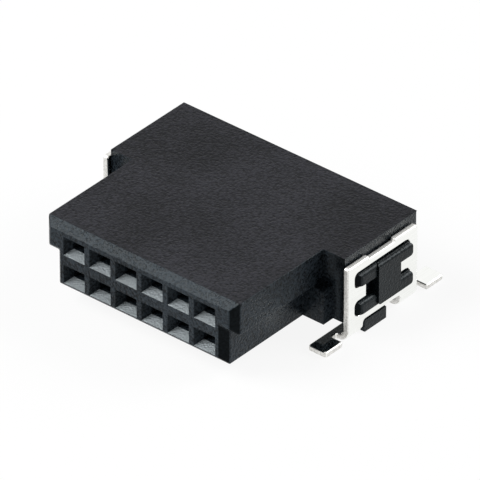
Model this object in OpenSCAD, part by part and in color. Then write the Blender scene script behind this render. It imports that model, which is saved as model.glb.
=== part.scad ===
// Right-angle board receptacle: a moulded housing with two rows of blanked fork contacts,
// soldered flat to a board and held down by a sheet-metal bracket at each end.
// X runs along the rows, Y from the mating face to the back, Z up from the solder plane.

/* [Contact grid] */
// Contacts in each row
columns = 6; // [2:1:10]
// Spacing of the contacts along a row
pitch = 1.27; // [1.2:0.01:1.6]
// Spacing of the two rows
row_pitch = 1.25; // [1.15:0.01:1.6]

/* [Cavities] */
// Width of a cavity's mouth
mouth_w = 1.03; // [0.9:0.01:1.1]
// Height of a cavity's mouth
mouth_h = 0.82; // [0.7:0.01:0.95]
// Inset of the lead-in on each side of the mouth
lead_inset = 0.19; // [0.1:0.01:0.24]
// Depth of the lead-in
lead_depth = 0.36; // [0.2:0.01:0.6]
// Length of the straight neck behind the lead-in
neck_len = 0.32; // [0.15:0.01:0.5]
// Width of the chamber in which the fork opens
chamber_w = 0.62; // [0.5:0.01:0.7]
// Height of the chamber and of the slot that holds the fork's base
chamber_h = 0.94; // [0.86:0.01:1]

/* [Housing] */
// Height of the underside above the solder plane
underside_z = 0.7; // [0.62:0.01:1]
// Wall under the lower mouths
bottom_wall = 0.34; // [0.33:0.01:0.6]
// Wall over the upper mouths
top_wall = 0.48; // [0.42:0.01:0.8]
// Wall beside the outer mouths
end_wall = 0.46; // [0.4:0.01:0.8]
// Lead-in bevel round the front of the nose
nose_bevel = 0.3; // [0.1:0.01:0.32]
// Overhang of the ear along each top edge of the nose
ear_out = 0.51; // [0.35:0.01:0.8]
// Height of the ears
ear_h = 1.4; // [1:0.01:1.7]
// Distance from the mating face to the front of the wings
wing_y = 5.05; // [4.9:0.01:6]
// Length of the wings
wing_len = 4.22; // [4.16:0.01:4.8]
// Width of each wing beyond the nose's side
wing_out = 1.55; // [1.4:0.01:2]
// Length of the step in front of each wing
step_len = 0.56; // [0.3:0.01:0.8]
// Width of that step beyond the nose's side
step_out = 1; // [0.7:0.01:1.2]

/* [Tail bay] */
// Distance from the mating face to the wall that holds the contacts
holder_y = 6.9; // [6.7:0.01:7.1]
// Roof over the tail bay
bay_roof = 0.35; // [0.25:0.01:0.5]
// Thickness of the ribs between the tails
bay_rib = 0.4; // [0.3:0.01:0.55]
// How far the ribs stop short of the roof's back edge
rib_inset = 0.3; // [0.1:0.01:0.6]

/* [Contacts] */
// Sheet thickness of a contact
contact_t = 0.3; // [0.2:0.01:0.4]
// Clearance of a contact in its slot
contact_fit = 0.02; // [0.01:0.005:0.04]
// Distance from the mating face to the fork's tip
fork_y = 1.3; // [1:0.01:2]
// Length of the base held in the wall
base_len = 1.5; // [1:0.01:1.9]
// Width of the slot between the fork's beams
fork_slot = 0.44; // [0.36:0.01:0.5]
// Rise of each contact point above its beam
point_rise = 0.08; // [0.04:0.01:0.12]
// Width of the tail
tail_w = 0.25; // [0.18:0.01:0.3]
// Inside radius of the tail's corners
tail_r = 0.15; // [0.08:0.01:0.2]
// Gap from the holding wall to the lower tails
lower_drop_gap = 0.3; // [0.25:0.01:0.4]
// Length of a lower tail's foot, from the front of its tail
lower_foot_len = 1.1; // [0.8:0.01:1.2]
// Distance from the back of the upper tails to the back of the roof
upper_drop_inset = 0.2; // [0.15:0.01:0.3]
// Length of an upper tail's foot, from the front of its tail
upper_foot_len = 1.45; // [1:0.01:1.6]

/* [Bracket sheet] */
// Sheet thickness of a bracket
sheet_t = 0.25; // [0.18:0.01:0.3]
// Inside radius of the bends
bend_r = 0.2; // [0.1:0.01:0.25]
// Clearance between a plate and the housing's side
plate_gap = 0.04; // [0.02:0.01:0.08]
// How far a plate stands in front of its wing
plate_lead = 0.15; // [0:0.01:0.25]
// Length of a plate
plate_len = 4.06; // [4:0.01:4.3]
// How far a plate's top lies under the housing's top
plate_drop = 0.31; // [0.28:0.01:0.4]
// Corner radius at the front of a plate's top
plate_front_r = 0.1; // [0.05:0.01:0.2]
// Corner radius at the back of a plate's top
plate_rear_r = 0.15; // [0.1:0.01:0.3]
// Distance from the wing's front to the notch in a plate's top
notch_start = 1.1; // [0.9:0.01:1.4]
// Length of the notch
notch_len = 1.45; // [1:0.01:1.8]
// Depth of the notch
notch_depth = 0.11; // [0.05:0.01:0.16]
// Length of the front leg
front_leg = 0.92; // [0.7:0.01:1]
// Length of the rear leg
rear_leg = 1; // [0.7:0.01:1.1]
// Height of the arch between the legs
arch_z = 0.59; // [0.56:0.01:0.64]
// Corner radius of the arch
arch_r = 0.12; // [0.05:0.01:0.2]

/* [Bracket feet] */
// Width of a foot, from the plate's outer face inwards
foot_w = 0.87; // [0.8:0.01:1.1]
// Length of a foot's wide end
foot_len = 1; // [0.7:0.01:1.3]
// Corner radius of a foot's wide end
foot_r = 0.12; // [0.03:0.01:0.2]
// Relief between the front foot and its leg
front_relief = 0.28; // [0.22:0.01:0.4]
// Relief between the rear foot and its leg
rear_relief = 0.55; // [0.22:0.01:0.7]
// Depth of the reliefs past the bend
relief_depth = 0.1; // [0.05:0.01:0.15]
// Corner radius of the reliefs
relief_r = 0.08; // [0.03:0.01:0.1]

/* [Boss and stops] */
// Clearance between the plate and the housing's boss and standoff
stop_gap = 0.05; // [0.03:0.01:0.06]
// Distance from the wing's front to the plate's cut-out
cut_start = 0.28; // [0.2:0.01:0.4]
// Length of the cut-out
cut_len = 3.16; // [3:0.01:3.3]
// Height of the cut-out
cut_h = 1.9; // [1.7:0.01:1.94]
// Height of the cut-out's centre above the housing's underside
cut_up = 1.21; // [1.2:0.01:1.3]
// Corner radius of the cut-out
cut_r = 0.18; // [0.08:0.01:0.22]
// Length of the front tongue
front_tongue = 0.66; // [0.5:0.01:0.7]
// Length of the rear tongue
rear_tongue = 0.7; // [0.5:0.01:0.8]
// Height of the tongues
tongue_h = 0.64; // [0.5:0.01:0.7]
// How far the boss stands out of the plate
boss_proud = 0.2; // [0.05:0.01:0.3]
// Gap between the front tongue and the boss's web
web_gap = 0.46; // [0.2:0.01:0.6]
// How far the fingers stand out of the plate
finger_proud = 0.12; // [0.02:0.01:0.2]
// Radius at each finger's tip, seen from above
tip_r = 0.3; // [0.1:0.01:0.36]
// Radius along the top edges of the boss's arms and fingers
arm_round = 0.18; // [0.04:0.01:0.25]
// Length of the standoff under the arch
standoff_len = 1.26; // [0.8:0.01:1.6]
// Width of the standoff's root under the wing
standoff_root = 0.7; // [0.4:0.01:0.8]
// Height of the standoff's foot above the solder plane
standoff_z = 0.03; // [0.01:0.01:0.06]

/* [Hidden] */
$fn = 48;
// Overlap with which one feature runs into the next, and cuts run past their faces
lap = 0.1;

// Row centres and housing heights
lower_z = underside_z + bottom_wall + mouth_h / 2;
upper_z = lower_z + row_pitch;
top_z = upper_z + mouth_h / 2 + top_wall;
ear_z = top_z - ear_h;

// Half widths of the grid and the housing
grid_half = (columns - 1) * pitch / 2;
nose_half = grid_half + mouth_w / 2 + end_wall;
ear_half = nose_half + ear_out;
step_half = nose_half + step_out;
wing_half = nose_half + wing_out;
channel_w = pitch - bay_rib;

// Depths of the cavities and the back
neck_y = lead_depth + neck_len;
slot_y = holder_y - base_len;
back_y = wing_y + wing_len;
neck_w = mouth_w - 2 * lead_inset;
neck_h = mouth_h - 2 * lead_inset;

// Tails
lower_drop_y = holder_y + lower_drop_gap;
upper_drop_y = back_y - upper_drop_inset - tail_w;

// Bracket planes: inner and outer face of the plate, line of the bend, ends along Y
plate_in = wing_half + plate_gap;
plate_out = plate_in + sheet_t;
bend_out = bend_r + sheet_t;
bend_x = plate_out - bend_out;
plate_y0 = wing_y - plate_lead;
plate_y1 = plate_y0 + plate_len;
plate_top = top_z - plate_drop;
foot_in = plate_out - foot_w;
front_tip = plate_y0 - front_relief - foot_len;
rear_tip = plate_y1 + rear_relief + foot_len;

// Cut-out, boss and stops
cut_y0 = wing_y + cut_start;
cut_y1 = cut_y0 + cut_len;
cut_z = underside_z + cut_up;
cut_z0 = cut_z - cut_h / 2;
cut_z1 = cut_z + cut_h / 2;
bar_h = (cut_h - tongue_h) / 2;
boss_out = plate_out + boss_proud;
arm_h = bar_h - 2 * stop_gap;
arm_r = cut_r - stop_gap;
arm_starts = [cut_z0 + stop_gap, cut_z1 - bar_h + stop_gap];
web_y0 = cut_y0 + front_tongue + web_gap;
web_y1 = cut_y1 - rear_tongue - stop_gap;
notch_y = wing_y + notch_start;
notch_z = plate_top - notch_depth;
standoff_y = plate_y0 + front_leg + stop_gap;

// Overall depth, centred on the origin
depth = max(rear_tip, upper_drop_y + upper_foot_len);

ROWS = ["lower", "upper"];

function column_x(i) = (i - 1) * pitch - grid_half;
function row_z(row) = row == "upper" ? upper_z : lower_z;

// Outline helpers

// Rectangle from one corner to the other with round corners
module round_rect(x0, y0, x1, y1, r) {
    translate([x0 + r, y0]) square([x1 - x0 - 2 * r, y1 - y0]);
    translate([x0, y0 + r]) square([x1 - x0, y1 - y0 - 2 * r]);
    for (x = [x0 + r, x1 - r], y = [y0 + r, y1 - r]) translate([x, y]) circle(r);
}

// Rectangle from one corner to the other
module rect(x0, y0, x1, y1) {
    translate([x0, y0]) square([x1 - x0, y1 - y0]);
}

// Quarter of a flat ring about the origin, in the quadrant that the signs give
module ring_quarter(inner, outer, sx, sy) {
    intersection() {
        difference() {
            circle(outer);
            circle(inner);
        }
        rect(min(0, sx * outer), min(0, sy * outer), max(0, sx * outer), max(0, sy * outer));
    }
}

// Outline drawn in Y and Z, extruded along X from x0 to x1
module along_x(x0, x1) {
    translate([x0, 0, 0]) rotate([90, 0, 90]) linear_extrude(x1 - x0) children();
}

// Outline drawn in X and Z, extruded along Y from y0 to y1
module along_y(y0, y1) {
    translate([0, y1, 0]) rotate([90, 0, 0]) linear_extrude(y1 - y0) children();
}

// Outline drawn in X and Y, extruded along Z from z0 to z1
module along_z(z0, z1) {
    translate([0, 0, z0]) linear_extrude(z1 - z0) children();
}

// The same feature on the right and, mirrored, on the left
module both_sides() {
    children();
    mirror([1, 0, 0]) children();
}

// Housing

// Plan of a nose of the given half width, bevelled at its front corners
module nose_plan(half) {
    polygon([
        [-half, nose_bevel], [nose_bevel - half, 0], [half - nose_bevel, 0], [half, nose_bevel],
        [half, wing_y + lap], [-half, wing_y + lap]
    ]);
}

// Nose: full-height core and the two ears along its top
module nose() {
    intersection() {
        along_z(underside_z, top_z) nose_plan(nose_half);
        along_x(-nose_half, nose_half) nose_side(underside_z);
    }
    intersection() {
        along_z(ear_z, top_z) nose_plan(ear_half);
        along_x(-ear_half, ear_half) nose_side(ear_z);
    }
}

// Side view of the nose above the given height, bevelled at its front edges
module nose_side(bottom) {
    polygon([
        [nose_bevel, bottom], [0, bottom + nose_bevel], [0, top_z - nose_bevel],
        [nose_bevel, top_z], [wing_y + lap, top_z], [wing_y + lap, bottom]
    ]);
}

// Block with the wings, and the lower step in front of them
module block() {
    along_z(underside_z, top_z) rect(-wing_half, wing_y, wing_half, back_y);
    along_z(underside_z, ear_z) rect(-step_half, wing_y - step_len, step_half, wing_y + lap);
}

// Plan of one cavity: lead-in, neck, chamber and slot
module cavity_plan() {
    polygon([
        [-mouth_w / 2, -lap], [mouth_w / 2, -lap], [mouth_w / 2, 0],
        [neck_w / 2, lead_depth], [neck_w / 2, neck_y],
        [-neck_w / 2, neck_y], [-neck_w / 2, lead_depth], [-mouth_w / 2, 0]
    ]);
    rect(-chamber_w / 2, neck_y - lap, chamber_w / 2, slot_y);
    slot_half = contact_t / 2 + contact_fit;
    rect(-slot_half, slot_y - lap, slot_half, holder_y + lap);
}

// Side view of one cavity about its row's centre
module cavity_side() {
    polygon([
        [-lap, -mouth_h / 2], [0, -mouth_h / 2], [lead_depth, -neck_h / 2], [neck_y, -neck_h / 2],
        [neck_y, neck_h / 2], [lead_depth, neck_h / 2], [0, mouth_h / 2], [-lap, mouth_h / 2]
    ]);
    rect(neck_y, -chamber_h / 2, holder_y + lap, chamber_h / 2);
}

// All cavities: each column's plan crossed with each row's side view
module cavities() {
    intersection() {
        along_z(underside_z - lap, top_z + lap)
            for (i = [1:columns]) translate([column_x(i), 0]) cavity_plan();
        along_x(-nose_half, nose_half)
            for (row = ROWS) translate([0, row_z(row)]) cavity_side();
    }
}

// Bay at the back in which the tails drop to the board, a channel for each column
module tail_bay() {
    bay_half = grid_half + channel_w / 2;
    along_z(underside_z - lap, top_z - bay_roof) {
        for (i = [1:columns]) translate([column_x(i), 0])
            rect(-channel_w / 2, holder_y, channel_w / 2, back_y + lap);
        rect(-bay_half, back_y - rib_inset, bay_half, back_y + lap);
    }
}

// I-shaped boss that fills the plate's cut-out: a proud web and arms, and two round-tipped fingers
module boss() {
    along_x(wing_half - lap, boss_out) rect(web_y0, cut_z0 + cut_r, web_y1, cut_z1 - cut_r);
    for (z = arm_starts) {
        arm(z, z + arm_h);
        finger(z, z + arm_h);
    }
}

// Section of an arm or finger that reaches out to the given X, rounded along its top edge
module arm_section(out, z0, z1) {
    rect(wing_half - lap, z0, out, z1 - arm_round);
    rect(wing_half - lap, z0, out - arm_round, z1);
    translate([out - arm_round, z1 - arm_round]) circle(arm_round);
}

// One arm of the boss between two heights
module arm(z0, z1) {
    arm_end = cut_y1 - stop_gap;
    intersection() {
        along_x(wing_half - lap, boss_out) round_rect(web_y0, z0, arm_end, z1, arm_r);
        along_y(web_y0, arm_end) arm_section(boss_out, z0, z1);
    }
}

// One finger of the boss between two heights, with a round tip
module finger(z0, z1) {
    finger_out = plate_out + finger_proud;
    tip = cut_y0 + stop_gap;
    root = web_y0 + cut_r;
    intersection() {
        along_x(wing_half - lap, finger_out) round_rect(tip, z0, root + cut_r, z1, arm_r);
        along_z(z0, z1) {
            rect(wing_half - lap, tip + tip_r, finger_out, root);
            rect(wing_half - lap, tip, finger_out - tip_r, root);
            translate([finger_out - tip_r, tip + tip_r]) circle(tip_r);
        }
        along_y(tip, root) arm_section(finger_out, z0, z1);
    }
}

// Standoff that fills the front of the plate's arch, with its root under the wing
module standoff() {
    along_z(standoff_z, arch_z - stop_gap)
        rect(wing_half - lap, standoff_y, plate_out, standoff_y + standoff_len);
    along_z(standoff_z, underside_z + lap)
        rect(wing_half - standoff_root, standoff_y, wing_half, standoff_y + standoff_len);
}

module housing() {
    color("#38383d") difference() {
        union() {
            nose();
            block();
            both_sides() {
                boss();
                standoff();
            }
        }
        cavities();
        tail_bay();
    }
}

// Brackets

// Outline of the plate above its bends
module plate_outline() {
    difference() {
        union() {
            rect(plate_y0, bend_out, plate_y1, plate_top - plate_rear_r);
            rect(plate_y0, bend_out, plate_y1 - plate_rear_r, plate_top - plate_front_r);
            rect(plate_y0 + plate_front_r, bend_out, plate_y1 - plate_rear_r, plate_top);
            translate([plate_y0 + plate_front_r, plate_top - plate_front_r]) circle(plate_front_r);
            translate([plate_y1 - plate_rear_r, plate_top - plate_rear_r]) circle(plate_rear_r);
        }
        round_rect(plate_y0 + front_leg, 0, plate_y1 - rear_leg, arch_z, arch_r);
        cut_out();
        rect(notch_y, notch_z, notch_y + notch_len, top_z);
    }
}

// I-shaped cut-out with a tongue at each end
module cut_out() {
    round_rect(cut_y0, cut_z0, cut_y1, cut_z0 + bar_h, cut_r);
    round_rect(cut_y0, cut_z1 - bar_h, cut_y1, cut_z1, cut_r);
    rect(cut_y0 + front_tongue, cut_z0 + cut_r, cut_y1 - rear_tongue, cut_z1 - cut_r);
}

// Bend under one leg, from the plate down to the foot and a little way into both
module bend(y0, length) {
    along_y(y0, y0 + length) {
        translate([bend_x, bend_out]) ring_quarter(bend_r, bend_out, 1, -1);
        rect(plate_in, bend_out, plate_out, bend_out + lap);
        rect(bend_x - lap, 0, bend_x, sheet_t);
    }
}

// Outline of a foot: a wide end at the tip, a relief, and a strip under the leg
module foot_outline(tip, leg_y0, leg_y1, relief) {
    toward = tip < leg_y0 ? -1 : 1;
    near = toward < 0 ? leg_y0 : leg_y1;
    far = toward < 0 ? leg_y1 : leg_y0;
    shoulder = near + toward * relief;
    difference() {
        union() {
            round_rect(foot_in, min(tip, near), plate_out, max(tip, near), foot_r);
            rect(foot_in, min(shoulder, far), bend_x, max(shoulder, far));
        }
        round_rect(bend_x - relief_depth, min(shoulder, near), plate_out + lap, max(shoulder, near), relief_r);
    }
}

module bracket() {
    color("#d8dade") {
        along_x(plate_in, plate_out) plate_outline();
        front_end = plate_y0 + front_leg;
        rear_start = plate_y1 - rear_leg;
        bend(plate_y0, front_leg);
        bend(rear_start, rear_leg);
        along_z(0, sheet_t) {
            foot_outline(front_tip, plate_y0, front_end, front_relief);
            foot_outline(rear_tip, rear_start, plate_y1, rear_relief);
        }
    }
}

// Contacts

// Fork and base about the row's centre
module fork_outline() {
    half = chamber_h / 2 - contact_fit;
    beam_half = half - contact_fit;
    point_r = (beam_half - fork_slot / 2 + point_rise) / 2;
    rect(slot_y, -half, holder_y, half);
    difference() {
        rect(fork_y + point_r, -beam_half, slot_y + lap, beam_half);
        rect(fork_y, -fork_slot / 2, slot_y - fork_slot / 2, fork_slot / 2);
        translate([slot_y - fork_slot / 2, 0]) circle(fork_slot / 2);
    }
    for (side = [-1, 1]) translate([fork_y + point_r, side * (beam_half - point_r)]) circle(point_r);
}

// Tail from the base back, down to the solder plane and back along the board
module tail_outline(z, drop_y, foot_length) {
    outer = tail_r + tail_w;
    upper_turn = drop_y - tail_r;
    lower_turn = drop_y + outer;
    rect(holder_y - lap, z - tail_w / 2, upper_turn, z + tail_w / 2);
    translate([upper_turn, z + tail_w / 2 - outer]) ring_quarter(tail_r, outer, 1, 1);
    rect(drop_y, outer, drop_y + tail_w, z + tail_w / 2 - outer);
    translate([lower_turn, outer]) ring_quarter(tail_r, outer, -1, -1);
    rect(lower_turn, 0, drop_y + foot_length, tail_w);
}

module contact(row, i) {
    drop_y = row == "upper" ? upper_drop_y : lower_drop_y;
    foot_length = row == "upper" ? upper_foot_len : lower_foot_len;
    color("#c9b27a") translate([column_x(i), 0, 0]) along_x(-contact_t / 2, contact_t / 2) {
        translate([0, row_z(row)]) fork_outline();
        tail_outline(row_z(row), drop_y, foot_length);
    }
}

// Assembly

// Moves a piece so that the whole part is centred over the solder plane
module centred() {
    translate([0, -depth / 2, 0]) children();
}

centred() housing();
centred() mirror([1, 0, 0]) bracket();  // left_bracket
centred() bracket();  // right_bracket
for (row = ROWS, i = [1:columns])
    centred() contact(row, i);
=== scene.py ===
# %% [markdown]
# # A right-angle board connector
# The real part is about 12 mm wide: a black moulded housing with two rows of six funnelled
# cavities, a bright sheet-metal bracket at each end and twelve blanked contacts inside.
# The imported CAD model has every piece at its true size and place, so this lesson doesn't model
# the pieces again. It takes a copy of each one, rounds its edges as tooling and plating do, gives it
# a finish that is worked out from the real material, and then sets up the light and the camera.

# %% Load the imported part
import math

import bpy
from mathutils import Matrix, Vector


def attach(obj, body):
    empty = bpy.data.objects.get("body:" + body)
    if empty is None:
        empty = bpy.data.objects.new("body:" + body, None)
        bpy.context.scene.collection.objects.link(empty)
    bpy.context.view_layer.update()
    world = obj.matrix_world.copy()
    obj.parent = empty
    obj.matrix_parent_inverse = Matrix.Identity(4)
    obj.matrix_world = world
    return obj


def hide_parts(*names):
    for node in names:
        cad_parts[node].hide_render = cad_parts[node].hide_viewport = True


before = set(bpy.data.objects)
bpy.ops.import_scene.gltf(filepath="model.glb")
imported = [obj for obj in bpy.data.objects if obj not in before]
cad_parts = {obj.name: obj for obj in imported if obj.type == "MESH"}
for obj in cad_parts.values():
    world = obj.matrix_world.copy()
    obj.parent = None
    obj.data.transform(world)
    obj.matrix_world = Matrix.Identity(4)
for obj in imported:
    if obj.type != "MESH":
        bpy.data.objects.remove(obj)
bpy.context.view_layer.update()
MM = 0.001
print("pieces in the frame:", len(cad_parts))

# %% [markdown]
# ## Colours and nodes
# Colours are written as sRGB hex values, the way a colour picker shows them. Shaders work in linear
# light, so one function turns the first into the second. Another adds a node with its settings and
# links, so that each material below reads as a list of what feeds what.


# %% Helpers for materials
def linear(hex_code):
    """A colour such as #1c1c1f, as linear red, green, blue and alpha."""
    channels = []
    for start in (1, 3, 5):
        value = int(hex_code[start:start + 2], 16) / 255
        channels.append(value / 12.92 if value <= 0.04045 else ((value + 0.055) / 1.055) ** 2.4)
    return (*channels, 1.0)


def add_node(tree, kind, settings=None, links=None):
    """Adds a node. Lower-case settings are its properties, and the others are values of its inputs."""
    node = tree.nodes.new(kind)
    for name, value in (settings or {}).items():
        if isinstance(name, str) and name.islower():
            setattr(node, name, value)
        else:
            node.inputs[name].default_value = value
    for name, source in (links or {}).items():
        tree.links.new(source, node.inputs[name])
    return node


def set_stops(ramp, *stops):
    """Gives a colour ramp its stops, each a position and a colour, from low to high."""
    elements = ramp.color_ramp.elements
    while len(elements) < len(stops):
        elements.new(1.0)
    for element, (position, colour) in zip(elements, stops):
        element.position = position
        element.color = linear(colour)


def new_material(name):
    """An empty node material, with its shader and the piece's own coordinates ready to use."""
    material = bpy.data.materials.new(name)
    material.use_nodes = True
    tree = material.node_tree
    tree.nodes.clear()
    shader = add_node(tree, "ShaderNodeBsdfPrincipled")
    add_node(tree, "ShaderNodeOutputMaterial", links={"Surface": shader.outputs["BSDF"]})
    place = add_node(tree, "ShaderNodeTexCoord").outputs["Object"]
    return material, tree, shader, place


print("helpers ready; mid grey #808080 is", round(linear("#808080")[0], 4), "in linear light")

# %% [markdown]
# ## The housing's plastic
# Such housings are moulded in black liquid-crystal polymer filled with glass fibre. The fibres leave a
# satin skin with a fine grain and very faint clouds. Each part of a mould can leave its own skin, and
# the photograph shows six tones:
# - plain sides, a top like a spark-eroded texture, and rough, pitted floors in the funnels whose paler
#   colour, given only where they face the light, is painted light
# - smoother, darker bosses, and painted shade on the chamfers and the ends of the bosses, coloured
#   nearly black
# - a shinier strip of wall above each bracket
#
# All six come from one recipe with a few settings, because it is one plastic.

# %% Recipe for the moulded plastic
CLOUD_MM = 4.0
CLOUD_SHARES = (0.39, 0.61)    # close together, so that the clouds stay faint
NOISE_RANGE = {"From Min": 0.3, "From Max": 0.7}    # nearly all values of a noise texture lie here
DARK_AT = 0.16                 # cloud times grain, where the colour is darkest
PALE_AT = 0.34                 # and where it is palest
PLASTIC_IOR = 1.65
COOL_GLINT = "#f1fbff"


def moulded_plastic(name, colours, shine, roughness, grain_mm, relief_mm):
    """The housing's plastic, with a skin that depends on the face of the mould."""
    material, tree, shader, place = new_material(name)
    clouds = add_node(
        tree, "ShaderNodeTexNoise",
        {"Scale": 1 / (CLOUD_MM * MM), "Detail": 1.0},
        {"Vector": place})
    faint = add_node(
        tree, "ShaderNodeMapRange",
        {**NOISE_RANGE, "To Min": CLOUD_SHARES[0], "To Max": CLOUD_SHARES[1]},
        {"Value": clouds.outputs["Fac"]})
    grain = add_node(
        tree, "ShaderNodeTexNoise",
        {"Scale": 1 / (grain_mm * MM), "Detail": 2.0},
        {"Vector": place})
    tint = add_node(
        tree, "ShaderNodeMath", {"operation": "MULTIPLY"},
        {0: faint.outputs["Result"], 1: grain.outputs["Fac"]})
    shade = add_node(tree, "ShaderNodeValToRGB", links={"Fac": tint.outputs["Value"]})
    set_stops(shade, (DARK_AT, colours[0]), (PALE_AT, colours[1]))
    satin = add_node(
        tree, "ShaderNodeMapRange",
        {**NOISE_RANGE, "To Min": roughness[0], "To Max": roughness[1]},
        {"Value": grain.outputs["Fac"]})
    relief = add_node(
        tree, "ShaderNodeBump",
        {"Strength": 1.0, "Distance": relief_mm * MM},
        {"Height": grain.outputs["Fac"]})
    shader.inputs["IOR"].default_value = PLASTIC_IOR
    shader.inputs["Specular IOR Level"].default_value = shine
    shader.inputs["Specular Tint"].default_value = linear(COOL_GLINT)
    tree.links.new(shade.outputs["Color"], shader.inputs["Base Color"])
    tree.links.new(satin.outputs["Result"], shader.inputs["Roughness"])
    tree.links.new(relief.outputs["Normal"], shader.inputs["Normal"])
    return material


print("clouds about", CLOUD_MM, "mm across")

# %% Six skins of one plastic
# The real grain is nearer 0.03 mm, and is drawn coarser so that it shows.

# To the eye: cool charcoal and satin, with a grain that breaks up every highlight.
plastic = moulded_plastic(
    "black_liquid_crystal_polymer", colours=("#090c0f", "#2a3137"), shine=0.075,
    roughness=(0.22, 0.34), grain_mm=0.1, relief_mm=0.034)

# To the eye: matt and evenly pitted, and a little less blue than the sides.
eroded_top = moulded_plastic(
    "black_polymer_eroded_texture", colours=("#0c0c0f", "#2c2c31"), shine=0.065,
    roughness=(0.34, 0.46), grain_mm=0.11, relief_mm=0.038)

# To the eye: mid grey where it faces the light, with a dry sheen. The rough, pitted skin is real, and
# the paler colour, given only to the funnels' floors that face the light, is painted light.
pitted_floor_and_painted_light = moulded_plastic(
    "black_polymer_funnel_floor_painted_light", colours=("#1f2325", "#4d5255"), shine=1.0,
    roughness=(0.4, 0.52), grain_mm=0.06, relief_mm=0.022)

# To the eye: deeper black than the sides, with a line of light along each rounded arm.
slide_face = moulded_plastic(
    "black_polymer_from_side_slides", colours=("#05080a", "#181e21"), shine=0.1,
    roughness=(0.2, 0.28), grain_mm=0.1, relief_mm=0.02)

# To the eye: nearly black. Painted shade: the chamfers and the ends of the bosses are coloured nearly
# black in place of the shade and dark reflections they show, so that the corners stand out from the
# faces beside them.
painted_shade_skin = moulded_plastic(
    "black_polymer_painted_shade", colours=("#040607", "#101417"), shine=0.03,
    roughness=(0.2, 0.3), grain_mm=0.1, relief_mm=0.02)

# To the eye: the plain side again, but paler, because it mirrors more of the white studio.
seat = moulded_plastic(
    "black_polymer_bracket_seat", colours=("#090c0f", "#2a3137"), shine=0.2,
    roughness=(0.22, 0.34), grain_mm=0.1, relief_mm=0.034)

skins = (plastic, eroded_top, pitted_floor_and_painted_light, slide_face, painted_shade_skin, seat)
print("skins:", [skin.name for skin in skins])

# %% [markdown]
# ## The bracket's plating
# Such brackets are usually stamped from copper-alloy strip and plated with bright tin. The faces of the
# strip keep faint lines from the rolling, and the edges that the punch sheared are rougher and greyer.
# Two materials are used, because the difference between face and edge makes sheet look like sheet.

# %% Bright tin on rolled strip
# To the eye: almost white, a soft mirror, with very fine lines along the strip.
tin, tree, shader, place = new_material("bright_tin_plating")
ROLLING_MM = (0.06, 1.2, 0.06)    # the lines are long in Y and fine across
RIDGE_MM = 0.0004
rolled = add_node(
    tree, "ShaderNodeMapping",
    {"Scale": [1 / (length * MM) for length in ROLLING_MM]},
    {"Vector": place})
lines = add_node(
    tree, "ShaderNodeTexNoise",
    {"Scale": 1.0, "Detail": 2.0},
    {"Vector": rolled.outputs["Vector"]})
tone = add_node(tree, "ShaderNodeValToRGB", links={"Fac": lines.outputs["Fac"]})
set_stops(tone, (0.3, "#f4f5f2"), (0.7, "#fbfcf9"))
soft_mirror = add_node(
    tree, "ShaderNodeMapRange",
    {**NOISE_RANGE, "To Min": 0.08, "To Max": 0.13},
    {"Value": lines.outputs["Fac"]})
ridges = add_node(
    tree, "ShaderNodeBump",
    {"Strength": 0.5, "Distance": RIDGE_MM * MM},
    {"Height": lines.outputs["Fac"]})
shader.inputs["Metallic"].default_value = 1.0
tree.links.new(tone.outputs["Color"], shader.inputs["Base Color"])
tree.links.new(soft_mirror.outputs["Result"], shader.inputs["Roughness"])
tree.links.new(ridges.outputs["Normal"], shader.inputs["Normal"])
print("rolling lines every", ROLLING_MM[0], "mm")

# %% Sheared edges of the strip
# To the eye: greyer and duller than the faces, with small torn patches.
sheared, tree, shader, place = new_material("sheared_tin_edge")
TORN_MM = 0.08
TEAR_DEPTH_MM = 0.004
torn = add_node(
    tree, "ShaderNodeTexNoise",
    {"Scale": 1 / (TORN_MM * MM), "Detail": 3.0, "Roughness": 0.65},
    {"Vector": place})
patches = add_node(tree, "ShaderNodeValToRGB", links={"Fac": torn.outputs["Fac"]})
set_stops(patches, (0.32, "#c4c3bf"), (0.62, "#ebeae7"))
dull = add_node(
    tree, "ShaderNodeMapRange",
    {**NOISE_RANGE, "To Min": 0.6, "To Max": 0.45},
    {"Value": torn.outputs["Fac"]})
tears = add_node(
    tree, "ShaderNodeBump",
    {"Strength": 0.6, "Distance": TEAR_DEPTH_MM * MM},
    {"Height": torn.outputs["Fac"]})
shader.inputs["Metallic"].default_value = 1.0
tree.links.new(patches.outputs["Color"], shader.inputs["Base Color"])
tree.links.new(dull.outputs["Result"], shader.inputs["Roughness"])
tree.links.new(tears.outputs["Normal"], shader.inputs["Normal"])
print("torn patches about", TORN_MM, "mm across")

# %% [markdown]
# ## The contacts' plating
# Such contacts are usually blanked from strip and plated in zones: gold where the fork grips its blade,
# bare nickel in the middle and tin on the tail that is soldered. One material can do all three, because
# the zones follow the contact's length, which is the Y of its own coordinates.

# %% Gold, nickel and tin along one contact
# To the eye: warm at the fork, cool and brighter at the tail, with a fine grain from the blanking.
plating, tree, shader, place = new_material("gold_and_tin_plated_strip")
ZONE_START_MM = -2.0
ZONE_END_MM = 2.0
GOLD_TO = 0.3             # this and the next two are shares of the way from start to end
NICKEL_AT = 0.5
TIN_FROM = 0.7
BLANKING_MM = 0.07
BLANKING_DEPTH_MM = 0.002
along = add_node(tree, "ShaderNodeSeparateXYZ", links={"Vector": place})
zone = add_node(
    tree, "ShaderNodeMapRange",
    {"From Min": ZONE_START_MM * MM, "From Max": ZONE_END_MM * MM},
    {"Value": along.outputs["Y"]})
metal = add_node(tree, "ShaderNodeValToRGB", links={"Fac": zone.outputs["Result"]})
set_stops(metal, (GOLD_TO, "#d9b066"), (NICKEL_AT, "#c8c3b7"), (TIN_FROM, "#e8e7e3"))
blanking = add_node(
    tree, "ShaderNodeTexNoise",
    {"Scale": 1 / (BLANKING_MM * MM), "Detail": 2.0},
    {"Vector": place})
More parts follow.
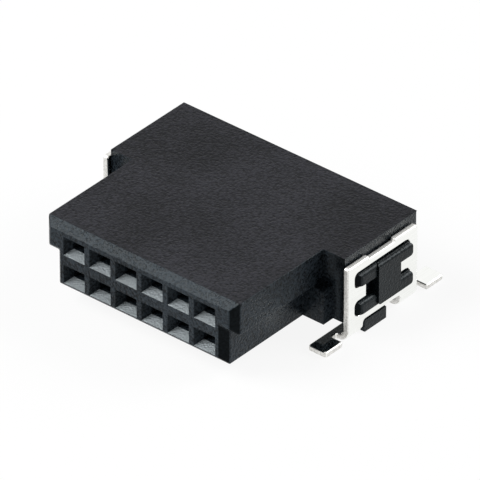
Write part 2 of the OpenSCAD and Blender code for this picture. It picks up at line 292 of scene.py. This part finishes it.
worn = add_node(
    tree, "ShaderNodeMapRange",
    {**NOISE_RANGE, "To Min": 0.2, "To Max": 0.34},
    {"Value": blanking.outputs["Fac"]})
strip = add_node(
    tree, "ShaderNodeBump",
    {"Strength": 0.5, "Distance": BLANKING_DEPTH_MM * MM},
    {"Height": blanking.outputs["Fac"]})
shader.inputs["Metallic"].default_value = 1.0
tree.links.new(metal.outputs["Color"], shader.inputs["Base Color"])
tree.links.new(worn.outputs["Result"], shader.inputs["Roughness"])
tree.links.new(strip.outputs["Normal"], shader.inputs["Normal"])
print("gold gives way to tin between Y", ZONE_START_MM, "and", ZONE_END_MM, "mm")

# %% [markdown]
# ## Rounded edges
# A moulded or plated edge is never a mathematical corner, and the thin line of light along it tells
# the eye how big the part is. Each piece is therefore a copy of its CAD node, merged into one skin and
# bevelled. Blender's bevel takes a millionth of a unit for nothing, and with metres as units that is a
# micrometre, too coarse for a part this small. So the copy is worked on at a thousand times its size,
# where one unit is a millimetre, and then brought back.

# %% A copy with rounded edges
WELD_MM = 0.001
FLAT_DEG = 0.5
EDGE_DEG = 12.0        # facets of round faces meet at less than this, real edges at more
EDGE_STEPS = 3
UNIT_EDGE_MM = 0.18    # width of an edge whose bevel weight is 1
LARGEST_FACES = 100    # weight at which the normals follow the largest faces most


def working_copy(node_name, piece_name):
    """A merged copy of a CAD node, selected alone, with one unit to the millimetre."""
    piece = bpy.data.objects.new(piece_name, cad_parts[node_name].data.copy())
    bpy.context.scene.collection.objects.link(piece)
    bpy.ops.object.select_all(action="DESELECT")
    bpy.context.view_layer.objects.active = piece
    piece.select_set(True)
    piece.scale = (1 / MM, 1 / MM, 1 / MM)
    bpy.ops.object.transform_apply(location=False, rotation=False, scale=True)
    bpy.ops.object.mode_set(mode="EDIT")
    bpy.ops.mesh.select_all(action="SELECT")
    bpy.ops.mesh.remove_doubles(threshold=WELD_MM)
    bpy.ops.mesh.dissolve_limited(angle_limit=math.radians(FLAT_DEG))
    bpy.ops.object.mode_set(mode="OBJECT")
    piece.data.materials.clear()
    return piece


def round_edges(piece, radius_at):
    """Bevels every real edge by the millimetres that radius_at gives for its two ends, keeps the flat
    faces flat, and brings the piece back to metres."""
    bpy.ops.object.shade_smooth()
    bpy.ops.object.mode_set(mode="EDIT")
    bpy.ops.mesh.select_mode(type="EDGE")
    bpy.ops.mesh.select_all(action="DESELECT")
    bpy.ops.mesh.edges_select_sharp(sharpness=math.radians(EDGE_DEG))
    bpy.ops.object.mode_set(mode="OBJECT")
    weights = piece.data.attributes.new("bevel_weight_edge", "FLOAT", "EDGE")
    corners = piece.data.vertices
    for edge in piece.data.edges:
        if edge.select:
            first, second = (corners[index].co for index in edge.vertices)
            weights.data[edge.index].value = radius_at(first, second) / UNIT_EDGE_MM
            edge.use_edge_sharp = weights.data[edge.index].value == 0
    bevel = piece.modifiers.new("rounded edges", "BEVEL")
    bevel.width = UNIT_EDGE_MM
    bevel.segments = EDGE_STEPS
    bevel.limit_method = "WEIGHT"
    bevel.use_clamp_overlap = False
    bpy.ops.object.modifier_apply(modifier=bevel.name)
    flat = piece.modifiers.new("flat faces stay flat", "WEIGHTED_NORMAL")
    flat.weight = LARGEST_FACES
    flat.keep_sharp = True
    bpy.ops.object.modifier_apply(modifier=flat.name)
    piece.scale = (MM, MM, MM)
    bpy.ops.object.transform_apply(location=False, rotation=False, scale=True)


def stands_for(piece, node_name):
    """The finished piece takes its CAD node's place on the part."""
    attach(piece, "root")
    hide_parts(node_name)
    print(piece.name, "has", len(piece.data.polygons), "faces")


print("edges sharper than", EDGE_DEG, "degrees are rounded in", EDGE_STEPS, "steps")

# %% [markdown]
# ## The housing
# One moulding carries everything else. The outside of its nose is eased, so that it slides into its
# mate, and the upright edges at the rear corners are rounder still, as the photograph shows. The edges
# round the cavities are as crisp as the tool can make them. The radius of an edge and the skin of a
# face therefore depend on where they are, and both are told by place and direction.

# %% Radius of each edge of the housing
REAR_CORNER_MM = 0.15
EASED_EDGE_MM = 0.06
CRISP_EDGE_MM = 0.012
EAR_MM = (4.4, 4.72)      # the ears' outer edges lie between these distances from the middle
EAR_BACK_MM = -0.8        # and in front of this
FUNNEL_BACK_MM = -4.85    # only the front of the nose lies in front of this
GRID_HALF_MM = 3.95       # the ends of the nose, beyond the cavities, lie outside this
CORNER_X_MM = 5.68        # the side walls and the bosses lie outside this
BACK_MM = 3.9             # only the rear corners and the back lie behind this
TOP_MM = 3.5              # only the top lies above this
UPRIGHT = 0.9             # share of an edge's length that is height, for an upright edge


def housing_edge(edge_start, edge_end):
    """Radius of the housing's edge between two corners, all in mm."""
    middle = (edge_start + edge_end) / 2
    side = abs(middle.x)
    upright = abs(edge_start.z - edge_end.z) > UPRIGHT * (edge_start - edge_end).length
    if EAR_MM[0] < side < EAR_MM[1] and middle.y < EAR_BACK_MM and not upright:
        return EASED_EDGE_MM
    if side > GRID_HALF_MM and middle.y < FUNNEL_BACK_MM:
        return EASED_EDGE_MM
    if side > CORNER_X_MM and middle.y > BACK_MM:
        return REAR_CORNER_MM if upright else EASED_EDGE_MM
    if side > CORNER_X_MM and middle.z < TOP_MM:
        return 0    # the side walls and bosses keep the edges that the CAD model gives them
    return CRISP_EDGE_MM


print("housing edges in mm:", REAR_CORNER_MM, EASED_EDGE_MM, CRISP_EDGE_MM)

# %% Skin of each face of the housing
BOSS_X_MM = 5.75               # the bosses lie outside this
SEAT_X_MM = 5.6                # and the side walls between this and the bosses
SQUARE_ON = 0.99               # part of a normal along an axis, for a face square to it
FUNNEL_FLOOR = (0.8, 0.95)     # upward part of the normal of a funnel's floor
CHAMFER = 0.6                  # sideways and forward parts of the normal of a chamfer
FRONT_END = -0.5               # a normal with less than this along Y faces the front


def housing_skin(face):
    """The plastic's skin on one face, told by its place in mm and its normal."""
    normal = face.normal
    side = abs(face.center.x)
    if abs(normal.x) > SQUARE_ON and SEAT_X_MM < side < BOSS_X_MM:
        return seat
    # the chamfers at the front get the painted shade
    if min(abs(normal.x), -normal.y) > CHAMFER and face.center.y < FUNNEL_BACK_MM:
        return painted_shade_skin
    if side > BOSS_X_MM and face.center.z < TOP_MM:
        # the bosses' ends that face the front get the painted shade too
        return slide_face if normal.y > FRONT_END else painted_shade_skin
    # the funnels' floors, which face the light, get the painted light of a paler colour
    if FUNNEL_FLOOR[0] < normal.z < FUNNEL_FLOOR[1] and face.center.y < FUNNEL_BACK_MM:
        return pitted_floor_and_painted_light
    if normal.z > SQUARE_ON and face.center.z > TOP_MM:
        return eroded_top
    return plastic


print("bosses start at", BOSS_X_MM, "mm from the middle")

# %% Make the housing
housing = working_copy("housing", "moulded_housing")
for skin in skins:
    housing.data.materials.append(skin)
for face in housing.data.polygons:
    face.material_index = skins.index(housing_skin(face))
round_edges(housing, housing_edge)
stands_for(housing, "housing")

# %% [markdown]
# ## The brackets
# The plate of a bracket stands on edge, so its sheet faces look along X, and its feet lie flat, so
# theirs look along Z. Every other face was sheared. The faces are told apart by place and normal
# before the bevel, which then takes each face's finish round its edge.

# %% Make the two brackets
STAMPED_EDGE_MM = 0.07
BEND_TOP_MM = 0.45    # above this height the sheet stands on edge
SHEET_MM = 0.25
ALONG_SHEET = 0.5     # a face of the plate with less of its normal along X was sheared
ACROSS_END = 0.7      # a face of a foot or bend with more of its normal along Y was sheared
SQUARE_END = 0.97     # and so was the edge of a foot that is square to X


def is_sheared(face):
    """True for a face of the bracket that the punch cut, told by its place and normal."""
    lean = [abs(part) for part in face.normal]
    if face.center.z > BEND_TOP_MM:
        return lean[0] < ALONG_SHEET
    return lean[1] > ACROSS_END or (lean[0] > SQUARE_END and face.center.z < SHEET_MM)


for side in ("left", "right"):
    bracket = working_copy(side + "_bracket", "plated_" + side + "_bracket")
    bracket.data.materials.append(tin)
    bracket.data.materials.append(sheared)
    for face in bracket.data.polygons:
        face.material_index = 1 if is_sheared(face) else 0
    round_edges(bracket, lambda first, second: STAMPED_EDGE_MM)
    stands_for(bracket, side + "_bracket")

# %% [markdown]
# ## The contacts
# Twelve contacts of two shapes sit in the cavities. They are small and mostly hidden, but the tails
# show along the back edge, and a look into a cavity should meet metal.

# %% Make the twelve contacts
BLANKED_EDGE_MM = 0.015
COLUMNS = 6
for row in ("lower", "upper"):
    for column in range(1, COLUMNS + 1):
        name = f"{row}_contact_{column}"
        contact = working_copy(name, "plated_" + name)
        contact.data.materials.append(plating)
        round_edges(contact, lambda first, second: BLANKED_EDGE_MM)
        stands_for(contact, name)

# %% [markdown]
# ## Floor and surroundings
# The photograph has a white sweep with no edge. The floor shows white to the camera and to mirrors
# through the Light Path node, and keeps a share of plain diffuse white, so that the part still has a
# soft shadow to stand on. The world does the same, and lights the part at a lower, plain level.

# %% White floor
FLOOR_HALF_M = 3.0
FLOOR_DROP_MM = 0.01    # keeps the floor just clear of the feet
FLOOR_GLOW = 0.9        # share of plain white in what the camera and the mirrors see


def seen_directly(tree):
    """1 for rays from the camera and for those that mirrors and glass send on, and 0 for the rest."""
    path = add_node(tree, "ShaderNodeLightPath")
    mirrored = add_node(
        tree, "ShaderNodeMath", {"operation": "MAXIMUM"},
        {0: path.outputs["Is Camera Ray"], 1: path.outputs["Is Glossy Ray"]})
    return add_node(
        tree, "ShaderNodeMath", {"operation": "MAXIMUM"},
        {0: mirrored.outputs["Value"], 1: path.outputs["Is Transmission Ray"]}).outputs["Value"]


bpy.ops.object.select_all(action="DESELECT")
bpy.ops.mesh.primitive_plane_add(size=2 * FLOOR_HALF_M, location=(0, 0, -FLOOR_DROP_MM * MM))
floor = bpy.context.object
floor.name = "floor"
paper = bpy.data.materials.new("white_paper_sweep")
paper.use_nodes = True
tree = paper.node_tree
tree.nodes.clear()
matt = add_node(tree, "ShaderNodeBsdfDiffuse", {"Color": linear("#f4f4f4")})
glow = add_node(tree, "ShaderNodeEmission", {"Color": linear("#ffffff"), "Strength": 1.0})
share = add_node(
    tree, "ShaderNodeMath", {"operation": "MULTIPLY", 1: FLOOR_GLOW}, {0: seen_directly(tree)})
mixed = add_node(
    tree, "ShaderNodeMixShader", None,
    {0: share.outputs["Value"], 1: matt.outputs["BSDF"], 2: glow.outputs["Emission"]})
add_node(tree, "ShaderNodeOutputMaterial", links={"Surface": mixed.outputs["Shader"]})
floor.data.materials.append(paper)
print("floor half width in m:", FLOOR_HALF_M)

# %% White surroundings
WORLD_LIGHT = 0.12
world = bpy.data.worlds.new("white_studio")
bpy.context.scene.world = world
world.use_nodes = True
tree = world.node_tree
tree.nodes.clear()
dim = add_node(tree, "ShaderNodeBackground", {"Color": linear("#ffffff"), "Strength": WORLD_LIGHT})
white = add_node(tree, "ShaderNodeBackground", {"Color": linear("#ffffff"), "Strength": 1.0})
mixed = add_node(
    tree, "ShaderNodeMixShader", None,
    {0: seen_directly(tree), 1: dim.outputs["Background"], 2: white.outputs["Background"]})
add_node(tree, "ShaderNodeOutputWorld", links={"Surface": mixed.outputs["Shader"]})
print("world lights the part at", WORLD_LIGHT)

# %% [markdown]
# ## Soft light
# One softbox hangs in front, to the left and above. The slanted floors of the funnels and the bevel
# round the nose mirror it towards the camera, while the level top mirrors the plain white studio. A
# second one hangs behind on the right, and draws the line of light along the bosses' rounded arms.
# Both are given by their brightness, because that is what a satin face shows.

# %% Two softboxes
LAMP_DISTANCE_M = 0.5


def softbox(name, direction, side_m, brightness):
    """A square lamp that looks at the part from a direction, with its power worked out from brightness."""
    place = Vector(direction).normalized() * LAMP_DISTANCE_M
    bpy.ops.object.light_add(type="AREA", location=place)
    lamp = bpy.context.object
    lamp.name = name
    lamp.rotation_euler = (-place).to_track_quat("-Z", "Y").to_euler()
    lamp.data.shape = "RECTANGLE"
    lamp.data.size = side_m
    lamp.data.size_y = side_m
    lamp.data.energy = brightness * math.pi * side_m * side_m
    print(name, "power in W:", round(lamp.data.energy, 3))


softbox("softbox_front", direction=(-0.52, -0.53, 0.67), side_m=0.3, brightness=10.0)
softbox("softbox_behind", direction=(0.55, 0.63, 0.54), side_m=0.27, brightness=7.0)

# %% [markdown]
# ## Camera
# The photograph looks down on the right front corner with little perspective, as a long lens does. The
# direction, distance and focal length come from fitting the part's corners to the picture, with a
# contact pitch of 1.27 mm taken as the scale.

# %% Camera at the photograph's angle
AZIMUTH_DEG = 40.1665
ELEVATION_DEG = 33.9992
DISTANCE_MM = 400.71
TARGET_MM = (0.4805, -0.0273, 2.0855)
SENSOR_MM = 36.0
LENS_MM = 806.76
NEAREST_M = 0.01
azimuth = math.radians(AZIMUTH_DEG)
elevation = math.radians(ELEVATION_DEG)
towards_camera = Vector((
    math.sin(azimuth) * math.cos(elevation),
    -math.cos(azimuth) * math.cos(elevation),
    math.sin(elevation)))
bpy.ops.object.camera_add(location=(Vector(TARGET_MM) + towards_camera * DISTANCE_MM) * MM)
camera = bpy.context.object
camera.rotation_euler = (-towards_camera).to_track_quat("-Z", "Y").to_euler()
camera.data.sensor_width = SENSOR_MM
camera.data.lens = LENS_MM
camera.data.clip_start = NEAREST_M
bpy.context.scene.camera = camera
bpy.context.scene.view_settings.view_transform = "Standard"
print("camera at", [round(part, 4) for part in camera.location])
